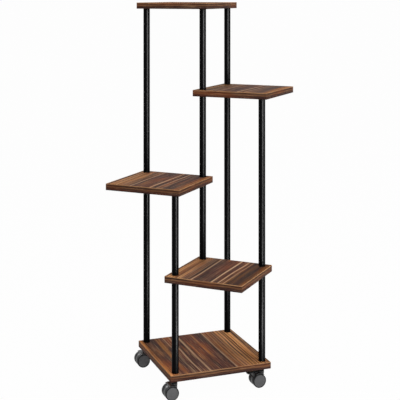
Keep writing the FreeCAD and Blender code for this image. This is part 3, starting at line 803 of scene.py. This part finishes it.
def make_tube(node, finish):
    """A hollow tube between the ends of its node."""
    low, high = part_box(node)
    centre, radius, length = (low + high) / 2, (high.x - low.x) / 2, high.z - low.z
    bore = radius - TUBE_WALL
    outline = [(bore, 0.0)]
    outline += corner_arc((radius - TUBE_END_ROUND, TUBE_END_ROUND), TUBE_END_ROUND, -90, 0)
    outline += corner_arc((radius - TUBE_END_ROUND, length - TUBE_END_ROUND), TUBE_END_ROUND, 0, 90)
    outline.append((bore, length))

    def point(distance, along, angle):
        return centre.x + distance * math.cos(angle), centre.y + distance * math.sin(angle), low.z + along

    bm, rings = spun(outline, TUBE_STEPS, point)
    for first, second in zip(rings, rings[1:] + rings[:1]):
        skin(bm, first, second)
    bmesh.ops.recalc_face_normals(bm, faces=bm.faces)
    tube = piece_from(bm, node + "_coated", [finish])
    stand_for(tube, node)
    return tube


tubes = [make_tube(name, tube_paint) for name in nodes if name.startswith("post_")]
print("tubes", len(tubes), "faces each", len(tubes[0].data.polygons))

# %% [markdown]
# ## Plastics and plated steel
#
# The wheels have a mid-grey face inside a narrow black ring, and a tread of darker, softer plastic. The ring
# is darker plastic, and its black also paints the shade in the gap between face and tread. The housings are
# dark grey nylon with a fine moulded grain, under a neck painted black for the shade of the base board, and
# the brake pedals are black too. Studs and screws are bright zinc. The casters' stems and the brakes' pins
# are zinc-plated too, but are given a dark steel that paints the shade they lie in, because nothing bright
# shows there on the real stand.
#
# Each of them could be one flat colour. But moulded plastic has a grain that catches the light and a cloudy
# shine, and plating has a bloom of crystals. All plastics share one function and both steels another,
# because they differ only in tone and gloss.

# %% Mix the plastics and the steel
SPARK_PER_METRE = 1500.0
CLOUD_PER_METRE = 60.0
GRAIN_DEPTH = 0.00005
BLOOM_PER_METRE = 240.0
BLOOM_DEPTH = 0.00003


def moulded(name, low, high, roughness, specular):
    """Plastic with a fine grain and a cloudy shine, between two tones."""
    finish = Finish(name, specular=specular)
    here = finish.place()
    spark = finish.noise(here, SPARK_PER_METRE, 2.0)
    cloud = finish.noise(here, CLOUD_PER_METRE, 3.0)
    both = finish.sum("ADD", finish.times(spark, 0.5), finish.times(cloud, 0.5))
    finish.colour(finish.mix(finish.ramp(both, ((0.35, 0.0), (0.65, 1.0))), low, high))
    finish.roughness(finish.ramp(cloud, ((0.3, roughness - 0.05), (0.7, roughness + 0.07))))
    finish.bump(spark, GRAIN_DEPTH, 0.4)
    return finish.material


def treated_steel(name, low, high, roughness):
    """Steel with a crystalline bloom in its colour and its shine."""
    finish = Finish(name)
    finish.shader.inputs["Metallic"].default_value = 1.0
    bloom = finish.noise(finish.place(), BLOOM_PER_METRE, 4.0)
    finish.colour(finish.mix(bloom, low, high))
    finish.roughness(finish.ramp(bloom, ((0.3, roughness - 0.06), (0.7, roughness + 0.1))))
    finish.bump(bloom, BLOOM_DEPTH, 0.3)
    return finish.material


wheel_face = moulded("wheel_face_grey", linear(73, 73, 74), linear(87, 87, 88), 0.5, 0.06)
wheel_tread = moulded("wheel_tread_grey", linear(34, 34, 35), linear(45, 45, 46), 0.4, 0.06)
# The ring's black is darker plastic and also painted shade of the gap between face and tread.
wheel_ring_gap_shade = moulded("wheel_ring_black", linear(22, 22, 23), linear(32, 32, 33), 0.45, 0.05)
housing_grey = moulded("housing_grey", linear(34, 34, 35), linear(45, 45, 46), 0.33, 0.35)
pedal_black = moulded("pedal_black", linear(12, 12, 13), linear(20, 20, 21), 0.4, 0.2)
# Painted shade: the neck under the base board is black for the shade that falls there.
collar_black = moulded("collar_black", linear(8, 8, 8), linear(15, 15, 15), 0.5, 0.04)
steel = treated_steel("zinc_plate", linear(168, 170, 176), linear(206, 207, 210), 0.32)
# Painted shade: zinc parts under the base board get a dark steel for the shade they lie in.
steel_painted_shade = treated_steel("blackened_steel", linear(24, 23, 23), linear(38, 37, 36), 0.5)
print("plastics and steel ready")

# %% [markdown]
# ## Twin wheels
#
# A wheel is a shallow cup on the axle with its closed face outwards, so most of it is a turned shape. It is
# drawn as half an outline and spun about the axle. Inside the cup six ribs join the hub to the rim, and as
# they repeat, they come from a Geometry Nodes tree that puts one rib at each point of a circle.

# %% Draw half of the wheel's outline
WHEEL_BORE = 0.00205
HUB_RADIUS = 0.0042
RIM_THICKNESS = 0.0028
RING_WIDTH = 0.0026
RING_RISE = 0.0005
FACE_THICKNESS = 0.0017
TREAD_ROUND = 0.0012
RING_ROUND = 0.0003
FACE_DISH = 0.0002
WHEEL_STEPS = 96


def wheel_outline(radius, width):
    """The turned section, from the bore on the inside round the tread to the middle of the face."""
    face = width - RING_RISE
    cup = face - FACE_THICKNESS
    ring_in = radius - RING_WIDTH
    outline = [(WHEEL_BORE, 0.0), (HUB_RADIUS, 0.0), (HUB_RADIUS, cup), (radius - RIM_THICKNESS, cup)]
    outline += corner_arc((radius - RIM_THICKNESS + RING_ROUND, RING_ROUND), RING_ROUND, 180, 270)
    outline += corner_arc((radius - RING_ROUND, RING_ROUND), RING_ROUND, -90, 0)
    outline += corner_arc((radius - TREAD_ROUND, width - TREAD_ROUND), TREAD_ROUND, 0, 90)
    outline += corner_arc((ring_in + RING_ROUND, width - RING_ROUND), RING_ROUND, 90, 180)
    outline += [(ring_in, face), (ring_in - RING_ROUND, face), (radius / 2, face - FACE_DISH)]
    return outline, cup


print("facets round a wheel", WHEEL_STEPS)

# %% Turn the outline about the axle
DISC_SLOT = 0
TREAD_SLOT = 1
RING_SLOT = 2


def turned_wheel(node):
    """The wheel as a bmesh, its cup open towards the caster's middle."""
    low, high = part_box(node)
    centre = (low + high) / 2
    radius = (high.z - low.z) / 2
    width = high.y - low.y
    outwards = -1 if node.endswith("front_wheel") else 1
    inside = centre.y - outwards * width / 2
    outline, cup = wheel_outline(radius, width)

    def point(distance, out, angle):
        x, z = centre.x + distance * math.cos(angle), centre.z + distance * math.sin(angle)
        return x, inside + outwards * out, z

    bm, rings = spun([(WHEEL_BORE, cup)] + outline, WHEEL_STEPS, point)
    bm.faces.new(rings[0]).material_index = TREAD_SLOT
    skin(bm, rings[0], rings[1], TREAD_SLOT)
    for number, (first, second) in enumerate(zip(rings[1:], rings[2:])):
        ends = outline[number:number + 2]
        nearest = min(distance for distance, out in ends)
        lowest = min(out for distance, out in ends)
        slot = TREAD_SLOT
        if lowest > width - RING_RISE:
            slot = RING_SLOT
        elif nearest < radius - RING_WIDTH and lowest > cup:
            slot = DISC_SLOT
        skin(bm, first, second, slot)
    bm.faces.new(rings[-1]).material_index = DISC_SLOT
    bmesh.ops.recalc_face_normals(bm, faces=bm.faces)
    return bm, centre, inside, outwards, radius, cup


print("finishes on a wheel", len((DISC_SLOT, TREAD_SLOT, RING_SLOT)))

# %% Grow the ribs with Geometry Nodes
RIB_COUNT = 6
RIB_THICKNESS = 0.0012
RIB_SETBACK = 0.0015
RIB_ROOT = 0.0004
UNSET_SIZE = 0.01


def sized_tree(name, count, sizes):
    """A Geometry Nodes tree whose inputs are a count and named sizes, and the node that gives them."""
    tree = bpy.data.node_groups.new(name, "GeometryNodeTree")
    tree.interface.new_socket("Count", in_out="INPUT", socket_type="NodeSocketInt").default_value = count
    for title, value in sizes.items():
        tree.interface.new_socket(title, in_out="INPUT", socket_type="NodeSocketFloat").default_value = value
    tree.interface.new_socket("Geometry", in_out="OUTPUT", socket_type="NodeSocketGeometry")
    return tree, tree.nodes.new("NodeGroupInput")


def repeat_on_points(tree, points, shape, material):
    """Puts the shape on every point, makes the copies real and coats them; returns the placing node."""
    place = tree.nodes.new("GeometryNodeInstanceOnPoints")
    real = tree.nodes.new("GeometryNodeRealizeInstances")
    coat = tree.nodes.new("GeometryNodeSetMaterial")
    coat.inputs["Material"].default_value = material
    result = tree.nodes.new("NodeGroupOutput")
    tree.links.new(points.outputs["Mesh"], place.inputs["Points"])
    tree.links.new(shape.outputs["Mesh"], place.inputs["Instance"])
    tree.links.new(place.outputs[0], real.inputs[0])
    tree.links.new(real.outputs[0], coat.inputs["Geometry"])
    tree.links.new(coat.outputs[0], result.inputs[0])
    return place


def rib_tree(material):
    """Boxes that point outwards, one at each point of a circle about Z."""
    tree, given = sized_tree("ribs_round_a_hub", RIB_COUNT, {
        "Middle Radius": UNSET_SIZE, "Length": UNSET_SIZE, "Thickness": RIB_THICKNESS, "Depth": UNSET_SIZE})
    circle = tree.nodes.new("GeometryNodeMeshCircle")
    rib = tree.nodes.new("GeometryNodeMeshCube")
    rib_size = tree.nodes.new("ShaderNodeCombineXYZ")
    where = tree.nodes.new("GeometryNodeInputPosition")
    aim = tree.nodes.new("FunctionNodeAlignRotationToVector")
    aim.axis = "X"
    aim.pivot_axis = "Z"
    place = repeat_on_points(tree, circle, rib, material)
    tree.links.new(given.outputs["Count"], circle.inputs["Vertices"])
    tree.links.new(given.outputs["Middle Radius"], circle.inputs["Radius"])
    tree.links.new(given.outputs["Length"], rib_size.inputs["X"])
    tree.links.new(given.outputs["Thickness"], rib_size.inputs["Y"])
    tree.links.new(given.outputs["Depth"], rib_size.inputs["Z"])
    tree.links.new(rib_size.outputs[0], rib.inputs["Size"])
    tree.links.new(where.outputs[0], aim.inputs["Vector"])
    tree.links.new(aim.outputs["Rotation"], place.inputs["Rotation"])
    return tree


def grown(tree, name, values):
    """The plain mesh that a tree makes from the given input values."""
    holder = bpy.data.objects.new(name, bpy.data.meshes.new(name))
    bpy.context.scene.collection.objects.link(holder)
    modifier = holder.modifiers.new("grow", "NODES")
    modifier.node_group = tree
    for item in tree.interface.items_tree:
        if item.item_type == "SOCKET" and item.in_out == "INPUT" and item.name in values:
            modifier[item.identifier] = values[item.name]
    mesh = settle(holder).data
    bpy.data.objects.remove(holder)
    return mesh


wheel_ribs = rib_tree(wheel_tread)
print("rib tree has", len(wheel_ribs.nodes), "nodes")

# %% Make the eight wheels


def make_wheel(node):
    """A turned wheel with its ribs."""
    bm, centre, inside, outwards, radius, cup = turned_wheel(node)
    root_in = HUB_RADIUS - RIB_ROOT
    root_out = radius - RIM_THICKNESS + RIB_ROOT
    depth = cup - RIB_SETBACK
    ribs = grown(wheel_ribs, node + "_ribs", {
        "Count": RIB_COUNT, "Middle Radius": (root_in + root_out) / 2, "Length": root_out - root_in,
        "Thickness": RIB_THICKNESS, "Depth": depth,
    })
    middle = Vector((centre.x, inside + outwards * (RIB_SETBACK + depth / 2), centre.z))
    ribs.transform(Matrix.Translation(middle) @ Matrix.Rotation(QUARTER_TURN, 4, "X"))
    first_rib_face = len(bm.faces)
    bm.from_mesh(ribs)
    bm.faces.ensure_lookup_table()
    for face in bm.faces[first_rib_face:]:
        face.material_index = TREAD_SLOT
    wheel = piece_from(bm, node + "_moulded", [wheel_face, wheel_tread, wheel_ring_gap_shade])
    stand_for(wheel, node)
    return wheel


wheels = [make_wheel(name) for name in nodes if name.endswith("_wheel")]
print("wheels", len(wheels), "faces each", len(wheels[0].data.polygons))

# %% [markdown]
# ## Housings, pedals and pins
#
# These already have their true shape in the model, but a moulded or forged edge is never sharp. A copy of
# the node is merged, its flat areas are joined into single faces, and a narrow bevel rounds every edge that
# stands out. A foot presses the brake pedal, so its plate gets a row of low round ribs that keep the shoe
# from sliding off. They repeat along a line, and another small tree makes them.

# %% Round the edges of a copy
FLAT = math.radians(1)
SHARP = math.radians(38)
MERGE = 1e-6
EDGE_SEGMENTS = 2


def softened(node, ending, width, finish, cap=None, add=None):
    """A merged copy of a node with rounded edges; cap is a height and the finish above it."""
    bm = bmesh.new()
    bm.from_mesh(nodes[node].data)
    bmesh.ops.remove_doubles(bm, verts=bm.verts, dist=MERGE)
    bmesh.ops.dissolve_limit(bm, angle_limit=FLAT, verts=bm.verts, edges=bm.edges)
    if cap:
        everything = bm.verts[:] + bm.edges[:] + bm.faces[:]
        bmesh.ops.bisect_plane(bm, geom=everything, plane_co=(0, 0, cap[0]), plane_no=(0, 0, 1))
    for face in bm.faces:
        face.material_index = int(cap is not None and face.calc_center_median().z > cap[0])
    piece = piece_from(bm, node + ending, [finish, cap[1]] if cap else [finish])
    bevel = piece.modifiers.new("soft_edges", "BEVEL")
    bevel.limit_method = "ANGLE"
    bevel.angle_limit = SHARP
    bevel.width = width
    bevel.segments = EDGE_SEGMENTS
    bevel.use_clamp_overlap = True
    settle(piece)
    if add:
        add(piece)
    stand_for(piece, node)
    print(piece.name, len(piece.data.polygons), "faces")


print("edges over", round(math.degrees(SHARP)), "degrees are rounded")

# %% Grow the grip ribs of a pedal
GRIP_COUNT = 5
GRIP_SPACING = 0.0022
GRIP_RADIUS = 0.0005
GRIP_INSET = 0.0025
GRIP_FACETS = 12
GRIP_FROM_TIP = 0.0030
FACES_UP = 0.9


def grip_tree(material):
    """Round bars that lie along Y, side by side along X."""
    tree, given = sized_tree("grip_bars", GRIP_COUNT, {
        "Spacing": GRIP_SPACING, "Length": UNSET_SIZE, "Radius": GRIP_RADIUS})
    row = tree.nodes.new("GeometryNodeMeshLine")
    step = tree.nodes.new("ShaderNodeCombineXYZ")
    bar = tree.nodes.new("GeometryNodeMeshCylinder")
    bar.inputs["Vertices"].default_value = GRIP_FACETS
    place = repeat_on_points(tree, row, bar, material)
    place.inputs["Rotation"].default_value = (QUARTER_TURN, 0, 0)
    tree.links.new(given.outputs["Count"], row.inputs["Count"])
    tree.links.new(given.outputs["Spacing"], step.inputs["X"])
    tree.links.new(step.outputs[0], row.inputs["Offset"])
    tree.links.new(given.outputs["Radius"], bar.inputs["Radius"])
    tree.links.new(given.outputs["Length"], bar.inputs["Depth"])
    return tree


grip_bars = grip_tree(pedal_black)
print("grip tree has", len(grip_bars.nodes), "nodes")


def add_grip(pedal):
    """Sinks a row of bars halfway into the pedal's plate, starting near its tip."""
    bm = bmesh.new()
    bm.from_mesh(pedal.data)
    plate = max((face for face in bm.faces if face.normal.z > FACES_UP), key=lambda face: face.calc_area())
    corners = [vert.co for vert in plate.verts]
    tip = min(corners, key=lambda corner: corner.x)
    width = max(corner.y for corner in corners) - min(corner.y for corner in corners)
    along = Vector((plate.normal.z, 0, -plate.normal.x))
    start = Vector((tip.x, plate.calc_center_median().y, tip.z)) + along * GRIP_FROM_TIP
    bars = grown(grip_bars, pedal.name + "_grip", {"Length": width - 2 * GRIP_INSET})
    axes = Matrix((along, Vector((0, 1, 0)), plate.normal)).transposed().to_4x4()
    bars.transform(Matrix.Translation(start) @ axes)
    bm.from_mesh(bars)
    shade(bm)
    bm.to_mesh(pedal.data)
    bm.free()
    print(pedal.name, "grip ribs", GRIP_COUNT)


# %% Round the housings, pedals and stems
HOUSING_EDGE = 0.0003
PEDAL_EDGE = 0.0003
STEEL_EDGE = 0.00015
# Height above which the housing is painted black as the shade under the base board.
NECK_SHADE_FROM = 0.0407

for name in list(nodes):
    if name.endswith("_housing"):
        softened(name, "_moulded", HOUSING_EDGE, housing_grey, (NECK_SHADE_FROM, collar_black))
    elif name.endswith("_pedal"):
        softened(name, "_moulded", PEDAL_EDGE, pedal_black, add=add_grip)
    elif name.endswith("_stem"):
        # The stems get the dark steel that paints the shade under the board.
        softened(name, "_plated", STEEL_EDGE, steel_painted_shade)

# %% Plate the remaining steel
for name, node in nodes.items():
    if slot_of[name] == "fastener_steel" and not name.endswith("_stem"):
        node.data.materials.clear()
        # The brake pins get the dark steel that paints the shade under the board; the rest stay zinc.
        node.data.materials.append(steel_painted_shade if name.endswith("_brake_pin") else steel)
        print(name, node.data.materials[0].name)

# %% [markdown]
